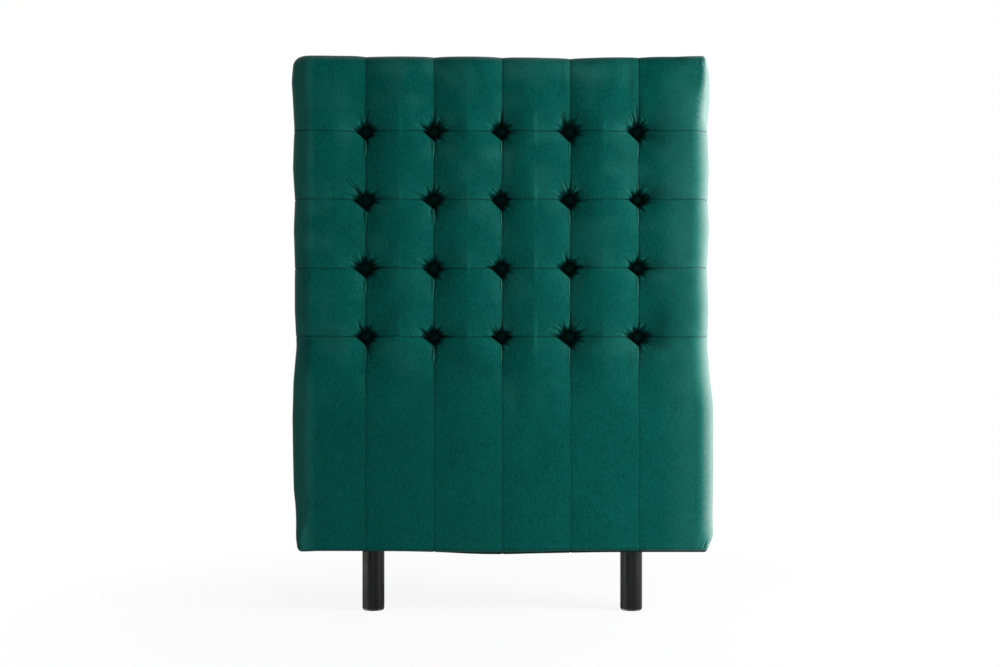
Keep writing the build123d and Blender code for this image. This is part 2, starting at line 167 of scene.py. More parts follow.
# The pleats that fan out of each tuft: row from the top, column, bearing in degrees
# anticlockwise from the right, length and width in millimetres, and strength
pleats = [
    (1, 1, 83, 44, 3.2, 1.0), (1, 1, 55, 26, 2.4, 0.9), (1, 1, 35, 29, 2.2, 0.8), (1, 1, 20, 27, 2.2, 0.7),
    (1, 2, 87, 42, 2.8, 0.9), (1, 2, 62, 34, 2.2, 1.0), (1, 2, 47, 37, 2.4, 1.0), (1, 2, 30, 36, 2.2, 1.0),
    (1, 2, 15, 42, 2.0, 0.9), (1, 2, 5, 38, 2.0, 0.8), (1, 3, 91, 44, 3.6, 1.0), (1, 3, 131, 27, 2.2, 0.8),
    (1, 3, 114, 24, 2.2, 0.8), (1, 3, 60, 24, 2.6, 0.8), (1, 3, 2, 29, 2.2, 0.7), (1, 4, 140, 31, 2.2, 0.9),
    (1, 4, 97, 28, 2.0, 0.6), (1, 4, 350, 28, 2.4, 0.6), (1, 4, 328, 27, 2.4, 0.6), (1, 4, 281, 32, 3.0, 0.9),
    (1, 5, 114, 45, 2.4, 1.0), (1, 5, 127, 40, 2.4, 1.0), (1, 5, 100, 32, 2.2, 0.9),
    (1, 5, 142, 27, 2.2, 0.7), (1, 5, 301, 30, 3.2, 1.0), (2, 1, 138, 64, 2.2, 1.0),
    (2, 1, 129, 58, 2.2, 0.9), (2, 1, 150, 34, 2.2, 0.6), (2, 1, 9, 50, 2.2, 0.8), (2, 1, 284, 36, 3.4, 0.6),
    (2, 1, 261, 34, 3.0, 0.6), (2, 2, 279, 54, 3.4, 1.0), (2, 2, 292, 34, 2.4, 0.7),
    (2, 2, 255, 44, 2.2, 0.7), (2, 2, 94, 34, 2.8, 1.0), (2, 2, 121, 20, 2.2, 0.7), (2, 2, 46, 23, 2.2, 0.8),
    (2, 3, 121, 30, 2.4, 0.9), (2, 3, 106, 32, 2.0, 0.8), (2, 3, 137, 23, 2.2, 0.7),
    (2, 4, 111, 50, 2.2, 0.9), (2, 4, 92, 34, 4.2, 1.0), (2, 4, 131, 28, 2.4, 1.0), (2, 4, 46, 31, 3.0, 1.0),
    (2, 4, 30, 27, 2.4, 0.7), (2, 4, 268, 36, 3.0, 0.8), (2, 5, 8, 36, 3.0, 0.9), (2, 5, 84, 24, 3.0, 0.6),
    (3, 1, 6, 48, 2.2, 0.9), (3, 1, 355, 32, 2.0, 0.7), (3, 1, 340, 31, 2.0, 0.7), (3, 1, 325, 34, 2.0, 0.7),
    (3, 1, 96, 31, 2.4, 0.8), (3, 1, 116, 31, 2.2, 0.8), (3, 1, 65, 27, 2.2, 0.8), (3, 1, 40, 31, 2.2, 0.8),
    (3, 1, 268, 36, 2.6, 0.7), (3, 2, 121, 33, 2.4, 0.9), (3, 2, 104, 29, 2.0, 0.7), (3, 2, 80, 31, 3.4, 1.0),
    (3, 2, 59, 29, 2.2, 0.8), (3, 2, 38, 29, 2.2, 0.8), (3, 2, 178, 31, 2.2, 0.6), (3, 2, 160, 27, 2.2, 0.6),
    (3, 2, 286, 27, 2.6, 0.8), (3, 3, 111, 31, 2.4, 0.9), (3, 3, 140, 29, 2.2, 0.8), (3, 3, 32, 22, 2.4, 0.6),
    (3, 4, 120, 29, 2.2, 0.9), (3, 4, 106, 27, 2.2, 0.8), (3, 4, 60, 22, 2.2, 0.7), (3, 4, 6, 46, 2.8, 1.0),
    (3, 4, 150, 27, 2.2, 0.7), (3, 5, 131, 31, 2.2, 0.8), (3, 5, 150, 27, 2.2, 0.8), (3, 5, 9, 27, 2.6, 0.7),
    (4, 1, 282, 54, 3.2, 1.0), (4, 1, 297, 40, 2.2, 0.9), (4, 1, 268, 50, 2.2, 0.8), (4, 1, 0, 34, 3.0, 0.7),
    (4, 1, 84, 30, 2.6, 0.7), (4, 2, 276, 54, 2.4, 0.9), (4, 2, 264, 44, 2.2, 0.8), (4, 2, 290, 30, 2.2, 0.7),
    (4, 2, 131, 27, 2.2, 0.8), (4, 2, 110, 27, 2.2, 0.7), (4, 2, 355, 44, 2.4, 0.7),
    (4, 3, 146, 29, 2.2, 0.9), (4, 3, 130, 31, 2.2, 0.9), (4, 3, 111, 27, 2.2, 0.8), (4, 3, 6, 27, 2.4, 0.6),
    (4, 4, 150, 34, 2.2, 0.9), (4, 4, 138, 40, 2.2, 1.0), (4, 4, 125, 35, 2.2, 0.9), (4, 4, 90, 54, 2.8, 0.9),
    (4, 4, 165, 27, 2.0, 0.6), (4, 5, 131, 27, 2.4, 0.6), (4, 5, 352, 24, 4.0, 0.5),
    (1, 4, 117, 46, 3.2, 1.0), (1, 5, 97, 56, 4.2, 0.8), (1, 3, 96, 56, 2.2, 0.6),
]


def cell_share(value, places, border):
    """Where a place lies between its seams: 0 at a seam, 1 half way or past the border."""
    places = np.asarray(places)
    gap = np.abs(value - nearest(value, places))
    outside = (value < places[0]) | (value > places[-1])
    reach = np.where(outside, border, (places[1] - places[0]) / 2)
    return np.clip(gap / reach, 0, 1)


def rounded(share):
    """The height of a crown from its seam, 0, to its top, 1."""
    return 1 - (1 - share) ** 1.85


def tuft_mouth(x, z):
    """How far a place lies from the nearest tuft, 1 at its mouth's edge, and how tight that edge is."""
    column = nearest(x, tuft_columns)
    row = nearest(z, tuft_rows)
    dx = x - column
    dz = z - row
    reach_x = np.ones_like(x)
    reach_z = np.ones_like(z)
    for row_number, column_number, left, right, up, down in tuft_reaches:
        here = (column == tuft_columns[column_number - 1]) & (row == tuft_rows[-row_number])
        reach_x[here] = np.where(dx[here] < 0, left, right) * mm
        reach_z[here] = np.where(dz[here] < 0, down, up) * mm
    # Straight-edged and tight at the lower left, round and soft elsewhere
    below = ease(-dz, -1 * mm, 2 * mm)
    lower_left = below * ease(-dx, -4 * mm, 1 * mm)
    power = 1.6 - 0.4 * below - 0.2 * lower_left
    lip = ((np.abs(dx) / reach_x) ** power + (np.abs(dz) / reach_z) ** power) ** (1 / power)
    # Gathered cloth runs into the mouth in uneven rays
    angle = np.arctan2(dz, dx)
    rays = 0
    for count, turn, weight in ((7, 31, 0.5), (12, 53, 0.3), (19, 97, 0.2)):
        own_turn = turn * (column + 1.7 * row) / mm
        rays = rays + weight * (0.5 + 0.5 * np.cos(count * angle + own_turn)) ** 3
    gathered = (1 - lower_left) * (1 - ease(lip, 1.15, 2.1))
    return lip / (1 + 0.42 * (rays - 0.3) * gathered), lower_left


# Creases at the panel's corners: x and z of its start, bearing, length, width and strength
corner_creases = [
    (431, 1189, 282, 22, 1.6, 0.35), (422, 1186, 250, 14, 1.6, 0.3), (434, 143, 72, 16, 1.8, 0.8),
    (420, 136, 60, 9, 1.8, 0.5), (408, 136, 120, 8, 1.8, 0.45), (392, 136, 75, 7, 1.6, 0.35),
    (-436, 141, 118, 12, 1.8, 0.4), (-438, 1189, 240, 12, 1.6, 0.35),
]
folds = [
    (tuft_columns[column - 1], tuft_rows[-row], bearing, pleat_start, *shape)
    for row, column, bearing, *shape in pleats
]
folds += [(x * mm, z * mm, bearing, 0, *shape) for x, z, bearing, *shape in corner_creases]


def fold_share(x, z):
    """How deep the pleats round the tufts and the corner creases fold in, from 0 to 1."""
    groove = np.zeros_like(x)
    for cx, cz, bearing, start, length, width, strength in folds:
        near = np.nonzero((np.abs(x - cx) < fold_reach) & (np.abs(z - cz) < fold_reach))[0]
        a = math.radians(bearing)
        out = (x[near] - cx) * math.cos(a) + (z[near] - cz) * math.sin(a)
        aside = -(x[near] - cx) * math.sin(a) + (z[near] - cz) * math.cos(a)
        along = np.clip((out - start * mm) / ((length - start) * mm), 0, 1)
        wide = 1.25 * width * mm * (1 - 0.6 * along)
        deep = strength * (1 - along) ** 0.55 * ease(out, (start - pleat_fade) * mm, start * mm)
        groove[near] = np.maximum(groove[near], deep * bell(aside, wide))
    return groove


# Painted patches of shade, or of light where the strength is below 0:
# x, z, half width and half height in millimetres, and strength
painted_light_and_shade_marks = [
    (349, 1048, 26, 30, 0.3), (257, 984, 19, 19, 0.2), (335, 903, 24, 16, 0.4), (345, 630, 19, 23, 0.4),
    (342, 581, 21, 20, 0.4), (188, 576, 18, 18, 0.2), (188, 748, 18, 18, 0.13), (-80, 548, 36, 43, 0.28),
    (-32, 516, 20, 22, 0.2), (-196, 527, 21, 30, 0.14), (-359, 596, 26, 15, 0.18), (-413, 578, 15, 15, 0.2),
    (-22, 834, 18, 18, 0.13), (-20, 684, 18, 18, 0.1), (-69, 877, 15, 15, 0.1), (-387, 812, 26, 43, 0.12),
    (395, 1186, 40, 10, 0.25), (31, 1164, 42, 20, -0.7), (190, 1164, 48, 22, -0.7),
    (-110, 1168, 45, 17, -0.35), (-230, 1168, 60, 17, -0.3), (-10, 990, 22, 18, -0.4),
    (265, 600, 20, 40, -0.2), (-345, 1040, 30, 30, -0.25), (295, 1087, 14, 26, 0.35),
    (132, 1070, 10, 16, 0.3), (280, 975, 14, 16, 0.15), (306, 930, 16, 14, 0.2), (343, 1012, 16, 16, 0.18),
    (338, 748, 24, 14, 0.18), (215, 592, 36, 18, 0.12), (-360, 572, 30, 20, 0.1), (-432, 1075, 20, 30, -0.5),
    (-190, 1048, 16, 30, -0.3), (257, 1036, 16, 24, -0.35), (407, 748, 14, 14, -0.5),
    (407, 608, 14, 18, -0.6), (407, 909, 14, 14, -0.4), (16, 470, 14, 55, -0.35), (-430, 350, 16, 150, -0.4),
    (156, 520, 9, 30, -0.3), (340, 683, 26, 14, -0.25), (278, 1145, 7, 45, 0.35), (131, 1150, 6, 38, 0.3),
    (38, 1184, 42, 9, -0.5), (-408, 1187, 28, 9, -0.4), (429, 158, 12, 20, -0.8), (328, 1020, 22, 26, 0.15),
    (325, 925, 28, 18, 0.14), (312, 632, 12, 22, 0.22), (322, 585, 14, 18, 0.18), (276, 545, 8, 38, 0.25),
    (-160, 469, 24, 60, 0.12), (-385, 555, 45, 50, 0.1), (12, 968, 11, 24, -0.35),
]


def painted_marks(x, z, sign):
    """How strong the painted patches are: of shade with sign 1, or of light with sign -1."""
    total = np.zeros_like(x)
    ragged = 1 + 0.25 * unevenness(x, z, 14 * mm, 13)
    for cx, cz, wide, high, strength in painted_light_and_shade_marks:
        if strength * sign > 0:
            away = ((x - cx * mm) / (wide * mm)) ** 2 + ((z - cz * mm) / (high * mm)) ** 2
            total += abs(strength) * np.exp(-away * ragged)
    return total


def seam_wander(along, seam, crossing):
    """How far a seam strays to one side between its tufts."""
    return seam_stray * unevenness(along, seam, 60 * mm, 3) * (1 - bell(along - crossing, 20 * mm))


def from_seams(x, z):
    """The nearest tuft's column and row, and how far a place lies across its two seams."""
    column = nearest(x, tuft_columns)
    row = nearest(z, tuft_rows)
    across = x - column - seam_wander(z, column, row)
    up = z - row - seam_wander(x, row, column)
    return column, row, across, up


def plain_share(z):
    """How plain the panel is: 0 among the tufts, 1 well below their last row."""
    return ease(lowest_row - z, 30 * mm, 200 * mm)


def pulled_in(z, row):
    """How much a tuft pulls in the lengthwise seam above and below it, from 0 to 1."""
    return bell(z - row, 30 * mm) * (z > lowest_row - 60 * mm)


def lapped_fold(z, row):
    """Where a seam's fold stands open below its tuft, from 0 to 1."""
    return ease(row - z, 15 * mm, 23 * mm) * (1 - ease(row - z, 32 * mm, 66 * mm))


def wide_folds(column):
    """Whether a seam's folds are wide ones, with a second crease, as the two left columns' are."""
    return column < -0.5 * column_pitch


def second_crease(across, opened, column):
    """The crease on the far side of a wide fold, from 0 to 1."""
    return opened * wide_folds(column) * bell(across + 6 * mm, 1.4 * mm)


def fold_turn(column):
    """How far a fold's crease lies to the right of its seam."""
    return np.where(wide_folds(column), 3 * mm, 0.8 * mm)


def painted_shade_share(x, z):
    """How much painted shade darkens the pile: 1 inside the tufts, and partly along the seams and pleats."""
    lip, tight = tuft_mouth(x, z)
    tufts = tight * ease(1 - lip, -0.06, 0.1) + (1 - tight) * ease(1 - lip, -0.3, 0.4)
    column, row, across, up = from_seams(x, z)
    pull = pulled_in(z, row)
    opened = lapped_fold(z, row)
    # The seams' painted shade is weaker below the last row of tufts, and at the top of the left columns
    shown = 0.62 - 0.3 * ease(lowest_row - z, 40 * mm, 160 * mm)
    shown = shown - 0.2 * ease(z - highest_row, 35 * mm, 80 * mm) * (1 - ease(x, 20 * mm, 100 * mm))
    seams = (shown + 0.35 * pull) * bell(
        across + 0.6 * mm - fold_turn(column) * opened, 1.7 * mm * (1 + 0.7 * pull * (1 - opened))
    )
    seams = np.maximum(seams, 0.5 * second_crease(across, opened, column))
    cross = (0.5 + 0.4 * bell(x - column, 34 * mm)) * bell(up, 1.4 * mm)
    pleated = 0.85 * ease(fold_share(x, z), 0.04, 0.9)
    # Painted shade, darker towards the lower left below the tufts, and in the painted patches of shade
    painted_shade_patches = 0.1 * plain_share(z) * (1 - ease(x, -120 * mm, 160 * mm)) + painted_marks(x, z, 1)
    return 1 - (1 - painted_shade_patches) * (1 - tufts) * (1 - seams) * (1 - cross) * (1 - pleated)


def painted_sheen_band(x, z):
    """Painted sheen where the cloth turns round the frame, most on the right, the side the key lamp lights.
    """
    # The painted sheen band is wider and paler at the top right corner
    widened = 25 * mm * ease(z, 1020 * mm, 1080 * mm)
    paler = 1 + 1.3 * ease(z, 1040 * mm, 1080 * mm) * (1 - ease(z, 1180 * mm, 1195 * mm))
    right = ease(x + widened, shoulder - 8 * mm, shoulder + 22 * mm) * ease(z, 128 * mm, 150 * mm)
    top = (0.4 - 0.32 * ease(x, 60 * mm, 300 * mm)) * ease(z, cover_top - 18 * mm, cover_top - 4 * mm)
    return np.maximum(right * paler, top)


def painted_light_and_pile_patches(x, z):
    """Painted light, most along the two side edges and the open folds' ridges, with random patches in the
    pile's tone.
    """
    plain = plain_share(z)
    column, row, across, _ = from_seams(x, z)
    in_corner = ease(z, cover_top - 85 * mm, cover_top - 20 * mm)
    right = ease(x, (312 + 16 * plain) * mm, 404 * mm) * (0.82 - 0.36 * plain) * (1 - 0.7 * in_corner)
    right = right * (0.85 + 0.15 * unevenness(x, z, 40 * mm, 7))
    left = ease(-x, 398 * mm, 440 * mm)
    patches = 0.3 * unevenness(x, z, 38 * mm, 8) * (1 - plain)
    # The ridge of an open fold catches the light
    ridge = lapped_fold(z, row) * bell(across - fold_turn(column) + 3.4 * mm, 1.2 * mm)
    return np.clip(right + left + patches + painted_marks(x, z, -1), 0, 1) + 1.3 * ridge


def front_depth(x, z):
    """How far the velvet's front lies behind its foremost point."""
    column, row, across, up = from_seams(x, z)

    # Crowned cells, which fade to shallow channels below the last row
    plain = plain_share(z)
    over = rounded(cell_share(x, tuft_columns, shoulder - tuft_columns[-1]))
    along = rounded(cell_share(z, tuft_rows, row_pitch / 2))
    cells = crown * (1 - over * (0.3 + 0.7 * along))
    channels = channel_depth + plain_crown * (1 - over)
    depth = cells * (1 - plain) + channels * plain
    depth += 0.7 * mm * unevenness(x, z, 70 * mm, 1) + 0.25 * mm * unevenness(x, z, 24 * mm, 2)
    depth += 0.6 * mm * (1 - plain) * unevenness(x, z, 36 * mm, 9)
    # The turned edge along the foot stands out a little
    depth -= 1.3 * mm * bell(z - cover_foot - 10 * mm, 6 * mm) * (1 + 0.5 * unevenness(x, z, 30 * mm, 10))

    # Folds along the seams, deeper where the tufts pull them in
    pull = pulled_in(z, row)
    opened = lapped_fold(z, row)
    depth += seam_depth * (1 + 4 * pull) * bell(
        across - fold_turn(column) * opened, seam_width * (1 + 1.2 * pull * (1 - opened))
    )
    # Below its tuft each seam's fold stands open, a ridge beside its crease
    depth -= seam_lap * (0.1 + 4 * opened) * bell(across + 3.2 * mm - fold_turn(column) * opened, 1.4 * mm)
    depth += 0.7 * mm * second_crease(across, opened, column)
    # Each crosswise seam has a low ridge along its lower side
    cross_pull = bell(x - column, 28 * mm)
    depth += cross_seam_depth * (1 + 1.5 * cross_pull) * bell(up, seam_width * (1 + cross_pull))
    depth -= 0.4 * mm * bell(up + 2.4 * mm, 2 * mm)

    # The cells' corners roll in towards the tufts, and turn over a tight edge below them
    lip, tight = tuft_mouth(x, z)
    beyond = np.clip(lip - 1, 0, None)
    depth += corner_roll * np.exp(-beyond / 1.1) * (lip < 7)
    depth += pleat_depth * fold_share(x, z)
    sink = tight * ease(1 - lip, 0, 0.2) + (1 - tight) * ease(1 - lip, -0.2, 0.5)
    return depth + (tuft_floor - depth) * sink


def smoothed(z, heights, values, step):
    """A value from a table of heights, with its corners rounded off."""
    return sum(np.interp(z + share * step, heights, values) for share in (-2, -1, 0, 1, 2)) / 5


def side_place(x, y, z):
    """How far out the nearer side stands at each height."""
    heights, left, right = np.array(side_template).T * mm
    left_side = smoothed(z, heights, left, side_smoothing)
    right_side = smoothed(z, heights, right, side_smoothing)
    pinch = 0.8 * mm * bell(z - nearest(z, tuft_rows), 1.4 * mm)
    return np.where(x < 0, left_side, right_side) - pinch + 0.4 * mm * unevenness(y, z, 60 * mm, 5)


def top_place(x):
    """How high the top edge stands across the width."""
    dip = 3.4 * mm * bell(x - 0.97 * column_pitch, 0.9 * column_pitch)
    dip = dip + 1.2 * mm * ease(x, 330 * mm, 420 * mm) - 1.9 * mm * ease(-x, 260 * mm, 330 * mm)
    from_seam = x - nearest(x, tuft_columns)
    pinch = 0.5 * mm * bell(from_seam, 1.8 * mm) + 0.8 * mm * bell(from_seam, 14 * mm)
    return cover_top - 0.3 * mm - dip - pinch


def foot_place(x, y):
    """How low the underside hangs: its front edge is drawn up, and it sags between the legs behind that."""
    # The front edge is drawn up, more to the right
    to_right = ease(x, 40 * mm, 160 * mm)
    off_left = ease(x, -150 * mm, -60 * mm)
    drawn_up = (2.4 + 1.6 * off_left + 2 * to_right) * mm * (1 - ease(y, front + 7 * mm, front + 18 * mm))
    left_lift = 1.1 * mm * (1 - off_left) * ease(x, -430 * mm, -395 * mm)
    drawn_up = drawn_up + left_lift * (1 - ease(y, front + 20 * mm, front + 40 * mm))
    # The middle sags between the legs
    behind = ease(y, front + 4 * mm, front + 26 * mm) * ease(-y, -cover_back, -cover_back + 30 * mm)
    sag = bell(x + 10 * mm, 140 * mm) * (2.5 * mm + 4.3 * mm * behind) + 1.2 * mm * to_right
    crease = 1.2 * mm * bell(x - nearest(x, tuft_columns), 1.6 * mm)
    return cover_foot + drawn_up - sag + crease


def rounded_least(a, b, radius):
    """The lesser of two depths, with a rounded edge where they meet."""
    corner = radius - np.hypot(np.maximum(radius - a, 0), np.maximum(radius - b, 0))
    return np.where((a < radius) & (b < radius), corner, np.minimum(a, b))


# The form's outer rectangle, the back's opening inside the velvet's turned margin,
# and the frame that the cover is pulled over
outer_low = np.array([-half_width, cover_foot])
outer_high = np.array([half_width, cover_top])
drawn_in = 10 * mm
opening_low = np.array([-half_width + drawn_in + margin_width, cover_foot + margin_width])
opening_high = np.array([half_width - drawn_in - margin_width, cover_top - margin_width])
clearance = 0.2 * mm
frame_low = np.array([stile_low[0], plate_low[2]]) - clearance
frame_high = np.array([-stile_low[0], stile_high[2]]) + clearance


def inside(points, hollow):
    """How deep each point lies inside the upholstered form, below 0 outside it."""
    x, y, z = points.T
    depth = y - front - hollow
    # The side edges are tight near the foot, and the right one at the top too
    heights, radii = np.array(right_edge_template).T * mm
    left_edge = tight_side_roll + (side_roll - tight_side_roll) * ease(z, 148 * mm, 240 * mm)
    side_edge = np.where(x < 0, left_edge, smoothed(z, heights, radii, edge_smoothing))
    depth = rounded_least(depth, side_place(x, y, z) - np.abs(x), side_edge)
    # The top right corner is pulled tight and stands square
    corner_start = half_width - corner_width
    top_edge = top_roll * (1 - 0.6 * ease(x, corner_start, corner_start + 50 * mm))
    depth = rounded_least(depth, top_place(x) - z, top_edge)
    at_sides = ease(np.abs(x), corner_start, corner_start + 45 * mm)
    foot_edge = foot_roll * (1 - np.where(x < 0, -0.25, 0.3) * at_sides)
    depth = rounded_least(depth, z - foot_place(x, y), foot_edge)
    return rounded_least(depth, cover_back - y, back_roll)


def grid_lines(places, low, high):
    """Lines from low to high, half a millimetre apart at the seams and up to 3.6 between them."""
    fine_step = 0.05 * mm
    fine = np.arange(low, high, fine_step)
    gap = np.abs(fine - nearest(fine, places))
    step = np.interp(gap, np.array([0, 3, 6, 34, 48, 58]) * mm, np.array([0.5, 1, 1.25, 1.4, 2.8, 3.6]) * mm)
    edge = np.minimum(fine - low, high - fine)
    step = np.minimum(step, np.interp(edge, np.array([0, 45, 60]) * mm, np.array([1.8, 2.8, 4]) * mm))
    count = np.cumsum(fine_step / step)
    whole = int(round(count[-1]))
    lines = np.interp(np.arange(1, whole) * count[-1] / whole, count, fine)
    return np.concatenate([[low], lines, [high]])


def rim_of(number):
    """The points' numbers round a grid's rim, from its lower left corner along its foot first."""
    return np.concatenate([number[0, :], number[1:, -1], number[-1, -2::-1], number[-2:0:-1, 0]])


def add_mesh(name, points, faces):
    """Makes a smooth-shaded mesh object from points and faces."""
    mesh = bpy.data.meshes.new(name)
    mesh.from_pydata([tuple(p) for p in points], [], faces)
    mesh.polygons.foreach_set("use_smooth", [True] * len(mesh.polygons))
    mesh.update()
    piece = bpy.data.objects.new(name, mesh)
    bpy.context.scene.collection.objects.link(piece)
    return piece


def ring_round(rim, low, high, y):
    """The rim's points set out round another rectangle, y back."""
    at = low + (rim[:, [0, 2]] - outer_low) / (outer_high - outer_low) * (high - low)
    return np.column_stack([at[:, 0], np.full(len(rim), y), at[:, 1]])


def add_ring(points, faces, last, ring):
    """Joins a new ring of points to the last one, and gives the new ring's numbers."""
    new = np.arange(len(points), len(points) + len(ring))
    points.extend(ring.tolist())
    for a, b, c, d in zip(last, np.roll(last, -1), np.roll(new, -1), new):
        faces.append([int(a), int(d), int(c), int(b)])
    return new


def cage():
    """Points and faces of an open box round the form: its front grid, its sides and its back's margin."""
    xs = grid_lines(tuft_columns, -half_width, half_width)
    zs = grid_lines(tuft_rows, cover_foot, cover_top)
    nx, nz = len(xs), len(zs)
    points = [(x, front, z) for z in zs for x in xs]
    number = np.arange(nx * nz).reshape(nz, nx)
    corners = [number[:-1, :-1], number[:-1, 1:], number[1:, 1:], number[1:, :-1]]
    faces = np.stack(corners, -1).reshape(-1, 4).tolist()
    last = rim_of(number)
    rim = np.array(points)[last]
    near_front = front + np.arange(2, 44, 2.2) * mm
    along_side = np.linspace(front + 45 * mm, cover_back - 9 * mm, 10)
    near_back = cover_back - np.array([7, 5.5, 4, 2.8, 1.8, 0.9]) * mm
    for y in np.concatenate([near_front, along_side, near_back]):
        last = add_ring(points, faces, last, ring_round(rim, outer_low, outer_high, y))
    for share in (0, 0.02, 0.045, 0.075, 0.115, 0.17, 0.25, 0.38, 0.54, 0.7, 0.85, 1):
        low = outer_low + share * (opening_low - outer_low)
        high = outer_high + share * (opening_high - outer_high)
        last = add_ring(points, faces, last, ring_round(rim, low, high, cover_back))
    return points, faces, rim, last, nx, nz


def line_inside(points, faces, rim, last, nx, nz):
    """Lines the form along the frame: under the margin, along the frame's sides and over its front."""
    under = cover_back - velvet_thickness + clearance / 2
    last = add_ring(points, faces, last, ring_round(rim, opening_low, opening_high, under))
    last = add_ring(points, faces, last, ring_round(rim, frame_low, frame_high, under))
    lining = ring_round(rim, frame_low, frame_high, board_front - clearance)
    # The plate that carries the legs reaches further forward, so the lining steps round it
    step = plate_high[2] + clearance
    lining[lining[:, 2] < step, 1] = plate_low[1] - clearance
    below = np.max(lining[lining[:, 2] < step, 2])
    above = np.min(lining[lining[:, 2] >= step, 2])
    lining[(lining[:, 2] == below) | (lining[:, 2] == above), 2] = step
    last = [int(i) for i in add_ring(points, faces, last, lining)]
    right = last[nx - 1 : nx + nz - 1]
    left = [last[0]] + last[: 2 * nx + nz - 4 : -1]
    faces.append([left[1], right[1]] + last[nx - 1 :: -1])
    for j in range(1, nz - 2):
        faces.append([left[j], left[j + 1], right[j + 1], right[j]])
    faces.append([right[-2], left[-2]] + last[2 * nx + nz - 3 : nx + nz - 3 : -1])


def onto_form(points):
    """Moves the cage's points along straight lines out of the form's core onto its surface."""
    foot_margin, back_margin = 24 * mm, 9 * mm
    core_low = np.array([-shoulder, front + side_roll, cover_foot + foot_margin])
    core_high = np.array([shoulder, cover_back - back_margin, cover_top - side_roll])
    core = np.clip(points, core_low, core_high)
    way = points - core
    near = np.zeros(len(points))
    # The form bulges past the cage by at most 0.35 of the way from its core
    far = np.full(len(points), 1.35)
    slanted = np.nonzero(np.abs(way[:, 0]) + np.abs(way[:, 2]) > 0.01 * mm)[0]
    hollow = front_depth(points[:, 0], points[:, 2])
    # Seventeen halvings find the surface to within a micrometre
    for _ in range(17):
        half = (near + far) / 2
        tried = core + way * half[:, None]
        hollow[slanted] = front_depth(tried[slanted, 0], tried[slanted, 2])
        within = inside(tried, hollow) > 0
        near = np.where(within, half, near)
        far = np.where(within, far, half)
    return core + way * near[:, None]


# Materials

def linear(code):
    """An sRGB hex colour as linear red, green, blue and alpha."""
    values = [int(code[i : i + 2], 16) / 255 for i in (1, 3, 5)]
    return [v / 12.92 if v <= 0.04045 else ((v + 0.055) / 1.055) ** 2.4 for v in values] + [1]


def node(tree, kind, inputs=None, **settings):
    """Adds a node, sets its properties, and sets or links its inputs."""
    made = tree.nodes.new(kind)
    for name, value in settings.items():
        setattr(made, name, value)
    for name, value in (inputs or {}).items():
        if isinstance(value, bpy.types.NodeSocket):
            tree.links.new(value, made.inputs[name])
        else:
            made.inputs[name].default_value = value
    return made


def new_material(name):
    """An empty material with its output, and its Principled shader."""
    material = bpy.data.materials.new(name)
    material.use_nodes = True
    tree = material.node_tree
    tree.nodes.clear()
    shader = node(tree, "ShaderNodeBsdfPrincipled")
    node(tree, "ShaderNodeOutputMaterial", {"Surface": shader.outputs[0]})
    return material, tree, shader


